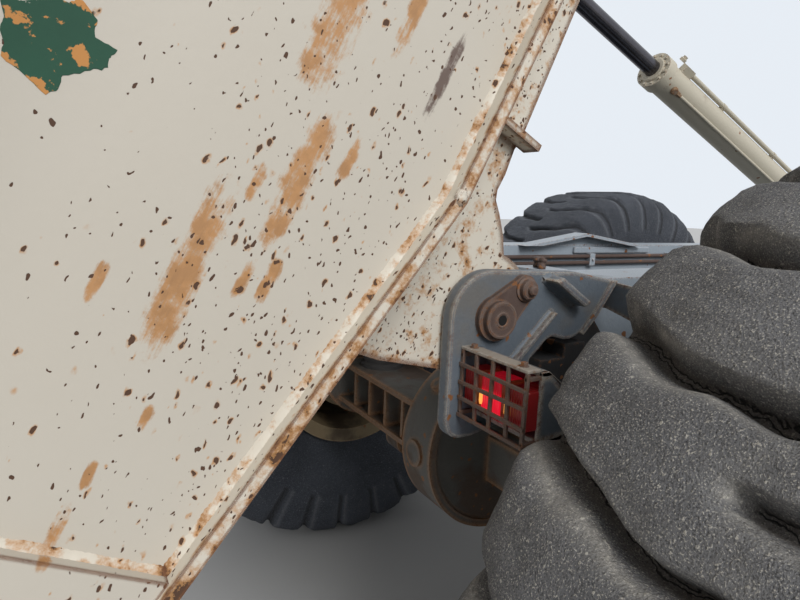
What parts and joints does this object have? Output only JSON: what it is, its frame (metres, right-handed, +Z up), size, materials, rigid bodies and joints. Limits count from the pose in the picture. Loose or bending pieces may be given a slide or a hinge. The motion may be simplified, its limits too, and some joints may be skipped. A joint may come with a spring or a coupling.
{
  "type": "articulated dump truck rear unit",
  "caption": "Rear unit of an articulated dump truck: bogie frame on lug tyres with a hitch tube, and a tipping body raised by hoist cylinders.",
  "frame": {"origin": "centre of the hitch tube's front face, where the front unit bolts on", "axes": "+X forward along the hitch bore, +Y to the truck's left, +Z up"},
  "size_m": [6.4835, 2.874, 6.2513],
  "materials": {
    "frame_paint": "worn satin",
    "body_paint": "worn satin with rust",
    "rusty_steel": "rusted",
    "casting": "dirty",
    "lamp_lens": "gloss",
    "spring_rubber": "matt",
    "hoist_paint": "worn satin",
    "rod_steel": "polished",
    "rim_paint": "rusty satin",
    "tyre": "dusty matt"
  },
  "bodies": {
    "frame": {"frame_rail_left": "frame_paint", "frame_rail_right": "frame_paint", "frame_cross_members": "frame_paint", "hitch_tube": "frame_paint", "tail_bracket_left": "frame_paint", "tail_bracket_right": "frame_paint", "hinge_pin_left": "rusty_steel", "hinge_pin_right": "rusty_steel", "body_guides": "frame_paint", "lamp_housings": "frame_paint", "lamp_lenses": "lamp_lens", "lamp_guards": "rusty_steel", "bogie_cross_shaft": "casting", "bogie_beam_left": "frame_paint", "bogie_beam_right": "frame_paint", "bogie_springs": "spring_rubber", "rear_axle_housing": "casting", "mid_axle_housing": "casting", "axle_links": "casting", "drive_shafts": "casting", "hoist_foot_left": "frame_paint", "hoist_foot_right": "frame_paint"},
    "tipping_body": {"body_floor": "body_paint", "body_side_left": "body_paint", "body_side_right": "body_paint", "body_front_wall": "body_paint", "body_ribs": "body_paint", "body_runners": "body_paint", "hinge_ears": "body_paint", "hoist_lugs": "body_paint"},
    "hoist_barrel_left": {"hoist_barrel_left": "hoist_paint"},
    "hoist_rod_left": {"hoist_rod_left": "rod_steel"},
    "hoist_barrel_right": {"hoist_barrel_right": "hoist_paint"},
    "hoist_rod_right": {"hoist_rod_right": "rod_steel"},
    "wheel_rear_left": {"rim_rear_left": "rim_paint", "tyre_rear_left": "tyre"},
    "wheel_rear_right": {"rim_rear_right": "rim_paint", "tyre_rear_right": "tyre"},
    "wheel_mid_left": {"rim_mid_left": "rim_paint", "tyre_mid_left": "tyre"},
    "wheel_mid_right": {"rim_mid_right": "rim_paint", "tyre_mid_right": "tyre"}
  },
  "joints": [
    {"name": "body_lower", "type": "hinge", "parent": "frame", "child": "tipping_body", "pos_m": [-4.92, 0, 0.35], "axis": [0, 1, 0], "range_deg": [0, 63]},
    {"name": "hoist_swing_left", "type": "hinge", "parent": "frame", "child": "hoist_barrel_left", "pos_m": [-1, 0.6, 0.39], "axis": [0, 1, 0], "range_deg": [-20.65, 0.05]},
    {"name": "hoist_stroke_left", "type": "slide", "parent": "hoist_barrel_left", "child": "hoist_rod_left", "axis": [-0.9297, 0, 0.3684], "range_m": [-1.136, 0.002]},
    {"name": "hoist_swing_right", "type": "hinge", "parent": "frame", "child": "hoist_barrel_right", "pos_m": [-1, -0.6, 0.39], "axis": [0, 1, 0], "range_deg": [-20.65, 0.05]},
    {"name": "hoist_stroke_right", "type": "slide", "parent": "hoist_barrel_right", "child": "hoist_rod_right", "axis": [-0.9297, 0, 0.3684], "range_m": [-1.136, 0.002]},
    {"name": "wheel_rear_left_spin", "type": "hinge", "parent": "frame", "child": "wheel_rear_left", "pos_m": [-4.45, 1.137, -0.15], "axis": [0, 1, 0], "continuous": true},
    {"name": "wheel_rear_right_spin", "type": "hinge", "parent": "frame", "child": "wheel_rear_right", "pos_m": [-4.45, -1.137, -0.15], "axis": [0, 1, 0], "continuous": true},
    {"name": "wheel_mid_left_spin", "type": "hinge", "parent": "frame", "child": "wheel_mid_left", "pos_m": [-2.72, 1.137, -0.15], "axis": [0, 1, 0], "continuous": true},
    {"name": "wheel_mid_right_spin", "type": "hinge", "parent": "frame", "child": "wheel_mid_right", "pos_m": [-2.72, -1.137, -0.15], "axis": [0, 1, 0], "continuous": true}
  ],
  "couplings": [
    {"joint": "hoist_swing_left", "follows": "body_lower", "ratio": -0.32674},
    {"joint": "hoist_stroke_left", "follows": "body_lower", "m_per_rad": -1.0313},
    {"joint": "hoist_swing_right", "follows": "body_lower", "ratio": -0.32674},
    {"joint": "hoist_stroke_right", "follows": "body_lower", "m_per_rad": -1.0313}
  ]
}
